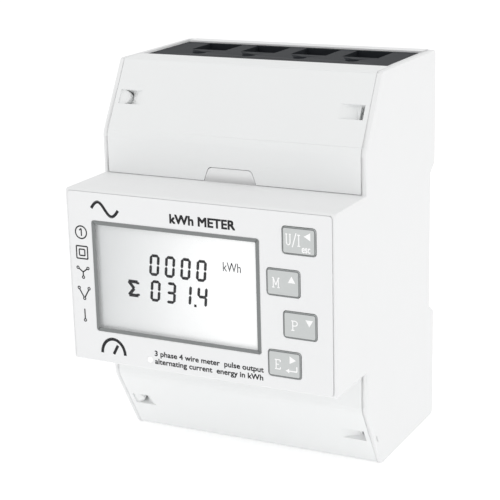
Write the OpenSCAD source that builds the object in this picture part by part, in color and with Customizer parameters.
// Three-phase energy meter, four modules wide, for a 35 mm rail.
// Frame: the origin is the centre of the rail seat, +X is the meter's right,
// +Y points to the wall behind it and +Z points up. The keys face -Y.

/* [Case] */
// Width over the side walls
case_w = 72; // [72:0.5:76]
// Height from the bottom face to the top face
case_h = 100; // [98:1:104]
// From the rail seat to the front of the keys
front_depth = 63; // [62:0.5:66]
// From the rail seat to the rearmost plane
rear_depth = 3; // [2.8:0.1:3.4]
// Height of the nose, which passes through a 45 mm panel cut-out
nose_h = 44.4; // [44:0.1:44.8]
// From the rail seat to the flat band of the terminal covers
cover_depth = 44.2; // [43:0.1:46]
// Height at which a terminal cover starts to slope back
slope_z = 32.5; // [31:0.5:34]
// Rounding where a cover's front turns into its slope
slope_round = 5; // [1:0.5:6]
// From the rail seat to the end of the slope, at the top face
slope_depth = 34; // [33:0.5:35]
// From the rail seat to the front edge of the terminal opening
opening_depth = 25.5; // [25.3:0.1:27]
// Thickness of the side walls
side_t = 2; // [1.8:0.1:2.2]
// Thickness of the covers, the nose walls and the partitions
shell_t = 1.6; // [1.4:0.1:1.8]
// Gap between parts that lie in each other
gap = 0.15; // [0.1:0.05:0.2]

/* [Rail] */
// Height of the recess for the rail
rail_h = 36.2; // [35.8:0.1:36.6]
// Height of that recess at its mouth
rail_mouth_h = 40.8; // [40:0.2:42]
// How far each hook reaches over the recess
hook_reach = 1.9; // [1.4:0.1:2.2]
// Gap in front of a hook, which takes the rail's 1 mm flange
rail_slot = 1.3; // [1.2:0.1:1.4]
// Half the width of the sliding clip
clip_half_w = 8; // [7:0.5:10]
// Travel of the sliding clip
clip_travel = 5; // [3:0.5:5]

/* [Terminals] */
// Distance from pole to pole
pole_pitch = 14.4; // [14.2:0.1:14.6]
// Width of a wire entry
entry_w = 9.8; // [9:0.1:10]
// Height of the clamp screws above or below the middle
clamp_z = 40; // [39.5:0.1:40.5]
// Radius of a clamp screw's shank
shank_r = 2.9; // [2.5:0.1:2.9]
// Radius of a clamp screw's head
head_r = 3.6; // [3.2:0.1:3.6]
// Travel of a clamp cage, from open to closed
cage_travel = 7; // [5:0.5:7]

/* [Front] */
// Width of a key
key_w = 8.4; // [7.6:0.1:8.6]
// Height of a key
key_h = 6.4; // [5.6:0.1:6.6]
// Travel of a key
key_travel = 0.5; // [0.3:0.05:0.6]
// Left edge of the display lens
lens_left = -28.75; // [-29:0.05:-28]
// Right edge of the display lens
lens_right = 16.9; // [16:0.05:17]
// Lower edge of the display lens
lens_bottom = -13.75; // [-14:0.05:-13]
// Upper edge of the display lens
lens_top = 14.65; // [14:0.05:15]

/* [Hidden] */
half_w = case_w / 2;
half_h = case_h / 2;
inner_x = half_w - side_t;
nose_z = nose_h / 2;
mid_x = inner_x - gap;
tiny = 0.01;
cut = 1;
corner_steps = 6;

// Layers of the front, from the keys inwards
plate_y = -(front_depth - 0.2);
rim_y = plate_y + 0.2;
plate_back_y = plate_y + 0.8;
nose_wall_y = plate_back_y + 1.4;
lcd_front_y = plate_back_y + 0.1;
lcd_back_y = lcd_front_y + 2.4;
lens_ledge = 0.2;
lcd_edge = lens_ledge + 0.1;
panel_gap = 0.04;
switch_front_y = nose_wall_y + 3.1;
board_y = -54;
board_t = 1.2;
main_board_y = -31.6;
main_board_t = 1.6;
header_pitch = 2.54;
pin_pitch = 2.3;
plate_half_w = half_w - 0.7;
plate_half_h = nose_z - 0.55;

// Terminal covers
slope_angle = atan2(cover_depth - slope_depth, half_h - slope_z);
cover_x = half_w - 1.2 - gap;
cover_z = nose_z + gap;
seal_z = 41;
seal_y = -cover_depth + (seal_z - slope_z) * tan(slope_angle);
seal_inner_x = 27.1;
seal_outer_x = 33.5;
seal_depth = 1.5;
seal_slot_depth = 4.6;
seal_wall = 1.2;
seal_h = 3.8;
seal_ramp = 3.8;
seal_post_x = 32.5;
seal_post_r = seal_h / 2;
seal_post_depth = 0.4;
seal_slot_r = 2.6;
seal_slot_w = 1.5;
arm_x = 30.5;
arm_z = 31.8;
tab_half_w = 7.3;
tab_h = 3.5;

// Terminal compartments
block_top = half_h - 0.4;
block_front_y = -30;
block_back_y = -1.45;
block_x = mid_x - 0.05;
pole_x = [for (i = [-1.5:1:1.5]) i * pole_pitch];
cavity_half_w = 6;
cavity_front_y = -25.6;
cavity_low = 34;
cavity_high = 46;
entry_front_y = -13;
entry_back_y = -2.7;
bar_t = 1.4;
bar_half_w = 4.3;
cage_half_w = cavity_half_w - 0.3;
cage_front_y = -18.2;
cage_back_y = entry_back_y - 0.35;
cage_wall = 1;
shoulder_y = -26.4;
// How far round each clamp screw happens to stand
screw_turn = [37, 74, 42, 5, 116, 37, 5, 74];
post_x = 31.2;
post_z = 24.2;
aux_pitch = 5;
aux_count = 6;
aux_z = -26.9;

// Key centres, from the top one down, as [x, z]
key_at = [[27.1, 15.1], [22.95, 4.7], [27.1, -5.3], [22.95, -15.3]];
led_at = [-13.75, -19.4];
pin_x = [for (i = [0:17]) -25.3 + i * pin_pitch];
board_post_at = [[-31.6, 17.6], [-31.6, -17.6], [31.4, 4.9], [31.4, -15.6]];
main_post_at = [[-30.5, 15.6], [-30.5, -15.6], [30.5, 15.6], [30.5, -15.6]];

// Rail clip
clip_top = -(rail_h / 2 - hook_reach);
clip_bottom = -(half_h - 0.4);
clip_floor_y = 0.4;
spring_low = -38;
spring_high = -26;
spring_r = 0.75;
spring_wire_r = 0.2;
spring_turns = 7;

KEYS = ["key_voltage_current", "key_demand", "key_power", "key_energy"];

// ---- shapes that several parts share ----

// A box from its lowest corner to its highest corner
module block(low, high) {
    translate(low) cube(high - low);
}

// A rod along Y
module rod_y(x, z, y0, y1, r) {
    translate([x, y1, z]) rotate([90, 0, 0]) cylinder(h = y1 - y0, r = r, $fn = 48);
}

// A prism along X from an outline in (Y, Z)
module prism_x(outline, x0, x1) {
    translate([x0, 0, 0]) rotate([90, 0, 90]) linear_extrude(x1 - x0) polygon(outline);
}

// A prism along Y from an outline in (X, Z)
module prism_y(outline, y0, y1) {
    translate([0, y1, 0]) rotate([90, 0, 0]) linear_extrude(y1 - y0) polygon(outline);
}

// A plate that faces -Y, with rounded corners
module plate(low, high, y0, y1, r) {
    corners = [[low.x, low.y, r], [high.x, low.y, r], [high.x, high.y, r], [low.x, high.y, r]];
    prism_y(rounded(corners), y0, y1);
}

// The part and its mirror image below the middle
module above_and_below() {
    children();
    mirror([0, 0, 1]) children();
}

// The part and its mirror image on the left
module right_and_left() {
    children();
    mirror([1, 0, 0]) children();
}

// An outline with rounded corners, from corners given as [a, b, radius]
function unit(v) = v / norm(v);
function flat(c) = [c[0], c[1]];
function turn(a) = a > 180 ? a - 360 : a < -180 ? a + 360 : a;
function arc(centre, r, start, sweep) =
    [for (i = [0:corner_steps]) let (a = start + sweep * i / corner_steps) centre + r * [cos(a), sin(a)]];
function bend(before, at, after, r) =
    let (u = unit(before - at), v = unit(after - at), half = acos(u * v) / 2,
         centre = at + unit(u + v) * r / sin(half),
         from = at + u * r / tan(half) - centre, to = at + v * r / tan(half) - centre,
         start = atan2(from.y, from.x))
    arc(centre, r, start, turn(atan2(to.y, to.x) - start));
function rounded(corners) =
    let (n = len(corners))
    [for (i = [0:n - 1])
        let (at = flat(corners[i]),
             before = flat(corners[(i + n - 1) % n]),
             after = flat(corners[(i + 1) % n]))
        each corners[i][2] == 0 ? [at] : bend(before, at, after, corners[i][2])];

// The line t behind the outer face of the upper terminal cover, from the nose to the opening
function cover_line(t, end_y) = [
    [-cover_depth + t, slope_z - t * tan(slope_angle / 2)],
    [-slope_depth + t * tan(45 - slope_angle / 2), half_h - t],
    [end_y, half_h - t]];

// The place on a cover's slope where the sealing pocket is: local +Y points inwards, +Z up the slope
module on_slope() {
    translate([0, seal_y, seal_z]) rotate([-slope_angle, 0, 0]) children();
}

// ---- case ----

// Half of the side wall's outline, from the nose to the rail recess
side_half = [
    [rim_y, nose_z, 0.9],
    [-cover_depth, nose_z, 0],
    [-cover_depth, slope_z, slope_round],
    [-slope_depth, half_h, 1],
    [rear_depth, half_h, 1.2],
    [rear_depth, rail_mouth_h / 2, 0.5],
    [-0.2, rail_h / 2, 0.4]];
side_outline = rounded(concat(
    side_half,
    [for (i = [len(side_half) - 1:-1:0]) [side_half[i][0], -side_half[i][1], side_half[i][2]]]));
nose_outline = rounded([
    [rim_y, nose_z, 0.9], [-cover_depth + shell_t, nose_z, 0],
    [-cover_depth + shell_t, -nose_z, 0], [rim_y, -nose_z, 0.9]]);
function tab_outline(grow) = rounded([
    [-tab_half_w - grow, nose_z - 0.5, 0], [tab_half_w + grow, nose_z - 0.5, 0],
    [tab_half_w - 1.5 + grow, nose_z + tab_h + grow, 1.3],
    [-tab_half_w + 1.5 - grow, nose_z + tab_h + grow, 1.3]]);

module housing() {
    color("whitesmoke") difference() {
        union() {
            right_and_left() prism_x(side_outline, inner_x, half_w);
            difference() {
                prism_x(nose_outline, -inner_x - tiny, inner_x + tiny);
                block([-inner_x, nose_wall_y, -nose_z + shell_t], [inner_x, 0, nose_z - shell_t]);
            }
            above_and_below() {
                block([-inner_x - tiny, -cover_depth, nose_z - shell_t],
                      [inner_x + tiny, block_back_y, nose_z]);
                right_and_left()
                    block([post_x - 2.4, -20, nose_z - tiny], [inner_x + tiny, block_back_y, post_z + 2.2]);
            }
            for (p = board_post_at) rod_y(p.x, p.y, nose_wall_y - tiny, board_y, 1.6);
        }
        plate([-plate_half_w - panel_gap, -plate_half_h - panel_gap],
              [plate_half_w + panel_gap, plate_half_h + panel_gap], rim_y - cut, plate_back_y, 0.8);
        plate([lens_left + lens_ledge, lens_bottom + lens_ledge],
              [lens_right - lens_ledge, lens_top - lens_ledge], plate_y, nose_wall_y + cut, 0.5);
        for (k = key_at) key_hole(k, plate_y, nose_wall_y + cut);
        rod_y(led_at.x, led_at.y, plate_y, nose_wall_y + cut, 0.8);
        above_and_below() {
            prism_x(concat([[-front_depth, cover_z - gap]], [[-cover_depth + shell_t + gap, cover_z - gap]],
                           cover_line(shell_t + gap, -opening_depth),
                           [[-opening_depth, half_h + cut], [-front_depth, half_h + cut]]),
                    -half_w + 1.2, half_w - 1.2);
            for (x = pole_x)
                block([x - bar_half_w - 0.2, entry_front_y - bar_t - 0.2, nose_z - shell_t - cut],
                      [x + bar_half_w + 0.2, entry_front_y + 0.2, nose_z + cut]);
            right_and_left() rod_y(post_x, post_z, -12, block_back_y + cut, 1.1);
        }
        right_and_left() mirror([0, 0, 1]) seal_slit();
        for (p = board_post_at) rod_y(p.x, p.y, board_y - 5, board_y + cut, 0.7);
    }
    // Tab that reaches into the notch of each cover
    color("whitesmoke") above_and_below()
        prism_y(tab_outline(0), -cover_depth, -cover_depth + shell_t);
}

module key_hole(centre, y0, y1) {
    plate([centre.x - key_w / 2 - 0.2, centre.y - key_h / 2 - 0.2],
          [centre.x + key_w / 2 + 0.2, centre.y + key_h / 2 + 0.2], y0, y1, 0.9);
}

// Slit in a side wall, beside the lower cover, for the sealing wire
module seal_slit() {
    on_slope() {
        block([inner_x - cut, 1.05, 0.9], [half_w + cut, 1.5, 3.1]);
    }
}

module rear_cover() {
    recess = rail_h / 2;
    pad = clip_top;
    color("whitesmoke") difference() {
        union() {
            above_and_below()
                block([-mid_x, block_back_y + gap, recess - 0.5], [mid_x, rear_depth, half_h]);
            block([-mid_x, -2.4, -recess], [mid_x, -0.4, recess]);
            block([-mid_x, -1, pad + 0.8], [mid_x, 0, -pad - 0.8]);
            // Fixed hook over the rail's upper edge
            prism_x([[rail_slot, recess + 2], [rail_slot, -pad], [rear_depth - 0.9, -pad],
                     [rear_depth, -pad + 0.9], [rear_depth, recess + 2]], -mid_x, mid_x);
            for (p = main_post_at) rod_y(p.x, p.y, main_board_y + main_board_t, -2, 2.2);
        }
        // Flares of the rail recess
        prism_x([[-0.4, -recess], [rear_depth + cut, -rail_mouth_h / 2 - 0.77 * cut],
                 [rear_depth + cut, 0], [-0.4, -recess + 2]], -half_w, half_w);
        prism_x([[-0.4, recess], [rail_slot, recess], [rail_slot, recess - 1], [-0.4, recess - 1]],
                -half_w, half_w);
        // Channel of the sliding clip
        block([-clip_half_w - 0.3, clip_floor_y, -half_h - cut], [clip_half_w + 0.3, 2.1, clip_top]);
        block([-clip_half_w + 1.7, clip_floor_y, -half_h - cut],
              [clip_half_w - 1.7, rear_depth + cut, clip_top]);
        above_and_below() right_and_left() {
            rod_y(post_x, post_z, -2, rear_depth + cut, 1.6);
            rod_y(post_x, post_z, 1.2, rear_depth + cut, 2.9);
        }
        for (p = main_post_at) rod_y(p.x, p.y, main_board_y, -20, 0.8);
        // Shallow panel in the upper half of the back
        block([-24, rear_depth - 0.6, 27], [24, rear_depth + cut, 45]);
    }
    // Stop for the clip's spring
    color("whitesmoke")
        block([-1.2, clip_floor_y - tiny, spring_low - 1.5], [1.2, 2, spring_low]);
}

module din_clip() {
    color("lightgray") difference() {
        union() {
            block([-clip_half_w, 0.7, clip_bottom], [clip_half_w, 1.8, -rail_h / 2 - 0.3]);
            block([-clip_half_w + 2, 1.7, clip_bottom], [clip_half_w - 2, 2.8, -rail_h / 2 - 1]);
            prism_x([[rail_slot, -rail_h / 2 - 2], [rail_slot, clip_top], [1.9, clip_top],
                     [2.8, clip_top - 0.9], [2.8, -rail_h / 2 - 2]], -clip_half_w + 2, clip_half_w - 2);
        }
        block([-1.6, 0, -44], [1.6, 4, spring_high]);
        block([-2.5, 0, clip_bottom + 1.4], [2.5, 4, clip_bottom + 3.8]);
    }
}

// Coil spring along Z: rings of a tube that climbs with the angle
function ring(i) =
    let (a = i * 30, z = spring_low + spring_wire_r + (spring_high - spring_low - 2 * spring_wire_r)
         * i / (12 * spring_turns))
    [for (k = [0:5]) let (r = spring_r + spring_wire_r * cos(60 * k))
        [r * cos(a), 1.55 + r * sin(a), z + spring_wire_r * sin(60 * k)]];

module clip_spring() {
    last = 12 * spring_turns;
    points = [for (i = [0:last]) each ring(i)];
    sides = [for (i = [0:last - 1]) for (k = [0:5])
        let (a = 6 * i + k, b = 6 * i + (k + 1) % 6) [a, a + 6, b + 6, b]];
    ends = [[for (k = [0:5]) k], [for (k = [5:-1:0]) 6 * last + k]];
    color("silver") polyhedron(points, concat(sides, ends), convexity = 10);
}

// A pan head screw along Y, with its head at the back
module pan_screw(x, z, head_y, tip_y, r, pan_r) {
    difference() {
        union() {
            rod_y(x, z, tip_y, head_y + tiny, r);
            rod_y(x, z, head_y, head_y + 1.5, pan_r);
        }
        for (turned = [0, 90])
            translate([x, head_y + 1.5, z]) rotate([0, turned, 0])
                block([-1.2, -0.8, -0.3], [1.2, cut, 0.3]);
    }
}

module housing_screws() {
    color("silver") above_and_below() right_and_left() pan_screw(post_x, post_z, 1.2, -8, 1.08, 2.6);
}

module board_screws() {
    color("silver") {
        for (p = board_post_at) pan_screw(p.x, p.y, board_y + board_t, board_y - 4, 0.68, 1.5);
        for (p = main_post_at)
            mirror([0, 1, 0]) pan_screw(p.x, p.y, -main_board_y, -main_board_y - 6, 0.78, 1.7);
    }
}

// ---- front ----

module faceplate() {
    color("white") difference() {
        plate([-plate_half_w, -plate_half_h], [plate_half_w, plate_half_h], plate_y, plate_back_y, 0.8);
        plate([lens_left - 0.08, lens_bottom - 0.08], [lens_right + 0.08, lens_top + 0.08],
              plate_y - cut, plate_back_y + cut, 0.75);
        for (k = key_at) key_hole(k, plate_y - cut, plate_back_y + cut);
        rod_y(led_at.x, led_at.y, plate_y - cut, plate_back_y + cut, 0.8);
    }
}

module display_lens() {
    color("dimgray", 0.5)
        plate([lens_left, lens_bottom], [lens_right, lens_top], plate_y, plate_back_y, 0.7);
}

module lcd_panel() {
    color("lightgray")
        block([lens_left + lcd_edge, lcd_front_y, lens_bottom + lcd_edge],
              [lens_right - lcd_edge, lcd_back_y, lens_top - lcd_edge]);
}

module lcd_backlight() {
    color("white")
        block([lens_left + 0.5, lcd_back_y, lens_bottom + 0.5],
              [lens_right - 0.5, board_y - 0.5, lens_top - 0.5]);
}

module lcd_holder() {
    color("white") difference() {
        block([lens_left - 1.3, lcd_back_y, lens_bottom - 1.3], [lens_right + 1, board_y, lens_top + 1.3]);
        block([lens_left + 0.4, nose_wall_y, lens_bottom + 0.4],
              [lens_right - 0.4, board_y + cut, lens_top - 0.4]);
    }
}

module lcd_pins() {
    color("silver") for (x = pin_x)
        block([x - 0.2, board_y - 0.45, lens_bottom + 0.9],
              [x + 0.2, board_y + board_t + 0.8, lens_bottom + 1.2]);
}

module display_board() {
    color("seagreen") difference() {
        plate([-33.4, -20], [33.4, 20], board_y, board_y + board_t, 1);
        for (p = board_post_at) rod_y(p.x, p.y, board_y - cut, board_y + board_t + cut, 0.9);
        for (x = pin_x)
            block([x - 0.3, board_y - cut, lens_bottom + 0.8],
                  [x + 0.3, board_y + board_t + cut, lens_bottom + 1.3]);
    }
}

module switch_bodies() {
    color("dimgray") for (k = key_at) difference() {
        block([k.x - 3, switch_front_y, k.y - 3], [k.x + 3, board_y, k.y + 3]);
        rod_y(k.x, k.y, switch_front_y - cut, switch_front_y + 1.5, 1.7);
    }
}

module switch_plunger(n) {
    k = key_at[n - 1];
    color("black") rod_y(k.x, k.y, switch_front_y - 1, switch_front_y + 0.9, 1.6);
}

module key(n) {
    k = key_at[n - 1];
    color("darkgray") {
        plate([k.x - key_w / 2, k.y - key_h / 2], [k.x + key_w / 2, k.y + key_h / 2],
              -front_depth, nose_wall_y + 0.2, 0.7);
        block([k.x - key_w / 2 - 0.7, nose_wall_y + 0.15, k.y - key_h / 2 - 0.7],
              [k.x + key_w / 2 + 0.7, nose_wall_y + 0.95, k.y + key_h / 2 + 0.7]);
        rod_y(k.x, k.y, nose_wall_y + 0.9, switch_front_y - 1, 2);
    }
}

module pulse_led() {
    color("white") block([led_at.x - 0.9, board_y - 0.8, led_at.y - 0.5],
                         [led_at.x + 0.9, board_y, led_at.y + 0.6]);
}

module pulse_light_guide() {
    color("white") {
        rod_y(led_at.x, led_at.y, plate_y, nose_wall_y + 0.2, 0.75);
        rod_y(led_at.x, led_at.y, nose_wall_y + 0.1, board_y - 0.9, 0.65);
        rod_y(led_at.x, led_at.y, nose_wall_y + 0.1, nose_wall_y + 0.9, 1.1);
    }
}

// ---- electronics ----

module main_board() {
    color("seagreen") difference() {
        plate([-33.4, -20.2], [33.4, 20.2], main_board_y, main_board_y + main_board_t, 1);
        for (p = main_post_at) rod_y(p.x, p.y, main_board_y - cut, main_board_y + main_board_t + cut, 0.9);
    }
}

module board_header() {
    socket_y = board_y + board_t;
    color("dimgray") block([-12, socket_y, -19], [12, socket_y + 8, -14]);
    color("dimgray") block([-12, main_board_y - 5, -19], [12, main_board_y, -14]);
    color("gold") for (i = [0:8]) {
        x = (i - 4) * header_pitch;
        block([x - 0.3, socket_y + 7.9, -16.8], [x + 0.3, main_board_y - 4.9, -16.2]);
    }
}

module supply_transformer() {
    color("goldenrod") block([-26, main_board_y - 15, -2], [-8, main_board_y, 14]);
}

module supply_capacitors() {
    color("darkslateblue") for (x = [2, 13]) rod_y(x, 8, main_board_y - 14, main_board_y, 4);
}

module current_transformer(n) {
    color("royalblue") translate([pole_x[n - 1], entry_front_y - bar_t / 2, 0])
        rotate_extrude($fn = 64) translate([3.2, -5.5]) square([3.5, 11]);
}

module busbar(n) {
    x = pole_x[n - 1];
    color("peru") {
        above_and_below()
            block([x - bar_half_w, entry_front_y - bar_t, 12], [x + bar_half_w, entry_front_y, 44.6]);
        block([x - 2.5, entry_front_y - bar_t, -12.1], [x + 2.5, entry_front_y, 12.1]);
    }
}

// ---- terminals ----

// Poles 1, 3, 5 and 7 are above, 2, 4, 6 and 8 below
function pole_of(n) = pole_x[floor((n - 1) / 2)];
function level_of(n) = n % 2 == 1 ? 1 : -1;

// The upper block; the lower one is its mirror image
module terminal_block() {
    difference() {
        union() {
            block([-block_x, -opening_depth + gap, nose_z + gap], [block_x, block_back_y, block_top]);
            block([-block_x, block_front_y, nose_z + gap],
                  [block_x, -opening_depth + 2 * gap, half_h - shell_t - 2 * gap]);
        }
        for (x = pole_x) {
            block([x - entry_w / 2, entry_front_y, cavity_high - tiny],
                  [x + entry_w / 2, entry_back_y, half_h]);
            block([x - cavity_half_w, cavity_front_y, cavity_low],
                  [x + cavity_half_w, entry_back_y, cavity_high]);
            rod_y(x, clamp_z, block_front_y - cut, shoulder_y, head_r + 0.3);
            rod_y(x, clamp_z, shoulder_y - tiny, cavity_front_y + tiny, shank_r + 0.3);
            block([x - bar_half_w - 0.1, entry_front_y - bar_t - 0.1, nose_z],
                  [x + bar_half_w + 0.1, entry_front_y + 0.1, cavity_low + tiny]);
            translate([x, -18.2, block_top - 2.4]) cylinder(h = 3, r = 1.8, $fn = 40);
        }
        right_and_left() {
            block([arm_x - 2, block_front_y - cut, arm_z - 1.2], [arm_x + 2, -26, arm_z + 1.2]);
            block([post_x - 2.6, -20.3, nose_z - cut], [half_w, 0, post_z + 2.5]);
        }
    }
}

module upper_terminal_block() {
    color("#46484a") terminal_block();
}

module lower_terminal_block() {
    color("#46484a") mirror([0, 0, 1]) terminal_block();
}

module clamp_cage(n) {
    x = pole_of(n);
    color("silver") scale([1, 1, level_of(n)]) difference() {
        block([x - cage_half_w, cage_front_y, clamp_z - 5], [x + cage_half_w, cage_back_y, clamp_z + 5]);
        block([x - cage_half_w + cage_wall, cage_front_y + 2, clamp_z - 6],
              [x + cage_half_w - cage_wall, cage_back_y - cage_wall, clamp_z + 6]);
        rod_y(x, clamp_z, cage_front_y - cut, cage_front_y + 2 + cut, shank_r + 0.08);
    }
}

module terminal_screw(n) {
    x = pole_of(n);
    z = level_of(n) * clamp_z;
    head_y = shoulder_y - 0.1;
    bar_front_y = entry_front_y - bar_t;
    color("silver") difference() {
        union() {
            rod_y(x, z, head_y, bar_front_y - 0.3, shank_r);
            rod_y(x, z, head_y - 3, head_y + tiny, head_r);
        }
        translate([x, head_y - 3, z]) rotate([0, screw_turn[n - 1], 0]) {
            block([-head_r, -cut, -0.5], [head_r, 1.1, 0.5]);
            block([-2, -cut, -0.65], [2, 2, 0.65]);
            block([-0.65, -cut, -2], [0.65, 2, 2]);
        }
    }
}

module aux_terminal_block() {
    half = aux_count * aux_pitch / 2;
    color("darkslategray") difference() {
        block([-half, -40.6, -31.2], [half, block_front_y - 0.1, -nose_z - gap]);
        for (i = [0:aux_count - 1]) {
            x = (i + 0.5) * aux_pitch - half;
            block([x - 1.7, -37, -32], [x + 1.7, -33.6, -25.5]);
            rod_y(x, aux_z, -41, -37.5, 1.9);
        }
    }
}

module aux_terminal_screws() {
    color("silver") for (i = [0:aux_count - 1]) {
        x = (i + 0.5 - aux_count / 2) * aux_pitch;
        difference() {
            rod_y(x, aux_z, -40.2, -37.5, 1.75);
            block([x - 1.8, -41, aux_z - 0.25], [x + 1.8, -39.5, aux_z + 0.25]);
        }
    }
}

// ---- covers ----

// The upper cover; the lower one is its mirror image
module terminal_cover() {
    end_y = -opening_depth - gap;
    outer = [[-cover_depth, cover_z, 0], [-cover_depth, slope_z, slope_round],
             [-slope_depth, half_h, 1], [end_y, half_h, 0.3]];
    line = cover_line(shell_t, end_y);
    inner = [for (i = [2:-1:0]) [line[i].x, line[i].y, 0]];
    difference() {
        union() {
            prism_x(rounded(concat(outer, inner, [[-cover_depth + shell_t, cover_z, 0]])), -cover_x, cover_x);
            right_and_left() {
                on_slope() block([seal_inner_x - 1, 0.8, -3.2],
                                 [cover_x - 0.9, seal_slot_depth + seal_wall, 3.2]);
                block([arm_x - 1.6, -cover_depth + 0.8, arm_z - 0.8], [arm_x + 1.6, -27, arm_z + 0.8]);
            }
        }
        on_slope() {
            right_seal_pocket();
            left_seal_pocket();
        }
        prism_y(tab_outline(gap), -cover_depth - cut, -cover_depth + shell_t + cut);
    }
}

// What both sealing pockets of a cover share: a ramp down to a flat floor, and the wire's hole
module seal_recess() {
    translate([0, 0, -seal_h / 2]) linear_extrude(seal_h) polygon([
        [seal_inner_x, 0], [seal_inner_x, -cut], [seal_outer_x, -cut],
        [seal_outer_x, seal_depth], [seal_inner_x + seal_ramp, seal_depth]]);
}

module seal_wire_hole() {
    translate([seal_outer_x - 3, 3, 0]) rotate([0, 90, 0]) cylinder(h = 6, r = 0.7, $fn = 32);
}

// The right pocket ends in a deep straight slot
module right_seal_pocket() {
    seal_recess();
    seal_wire_hole();
    block([seal_outer_x - seal_slot_w, 0, -seal_h / 2], [seal_outer_x, seal_slot_depth, seal_h / 2]);
}

// The left pocket ends in a deep curved slot round a post that the wire passes through
module left_seal_pocket() {
    mirror([1, 0, 0]) {
        seal_wire_hole();
        difference() {
            union() {
                seal_recess();
                intersection() {
                    rod_y(seal_post_x, 0, -cut, seal_slot_depth, seal_slot_r);
                    block([seal_inner_x, -cut, -seal_h / 2], [seal_outer_x, seal_slot_depth + cut, seal_h / 2]);
                }
            }
            rod_y(seal_post_x, 0, seal_post_depth, seal_slot_depth + cut, seal_post_r);
            block([seal_post_x, seal_post_depth, -seal_h], [half_w, seal_slot_depth + cut, seal_h]);
        }
    }
}

module upper_terminal_cover() {
    color("white") terminal_cover();
}

// The lower cover also has a slot through which the data wires leave
module lower_terminal_cover() {
    color("white") difference() {
        mirror([0, 0, 1]) terminal_cover();
        block([-12, -30, -half_h - cut], [12, -opening_depth, -half_h + shell_t + cut]);
    }
}

housing();
rear_cover();
faceplate();
display_lens();
lcd_panel();
lcd_backlight();
lcd_holder();
lcd_pins();
display_board();
switch_bodies();
pulse_led();
pulse_light_guide();
main_board();
board_header();
supply_transformer();
supply_capacitors();
upper_terminal_block();
lower_terminal_block();
aux_terminal_block();
aux_terminal_screws();
upper_terminal_cover();
lower_terminal_cover();
din_clip();
clip_spring();
housing_screws();
board_screws();
for (n = [1:4]) {
    key(n);
    switch_plunger(n);
    busbar(n);
}
for (n = [1:3]) {
    current_transformer(n);
}
for (n = [1:8]) {
    terminal_screw(n);
    clamp_cage(n);
}
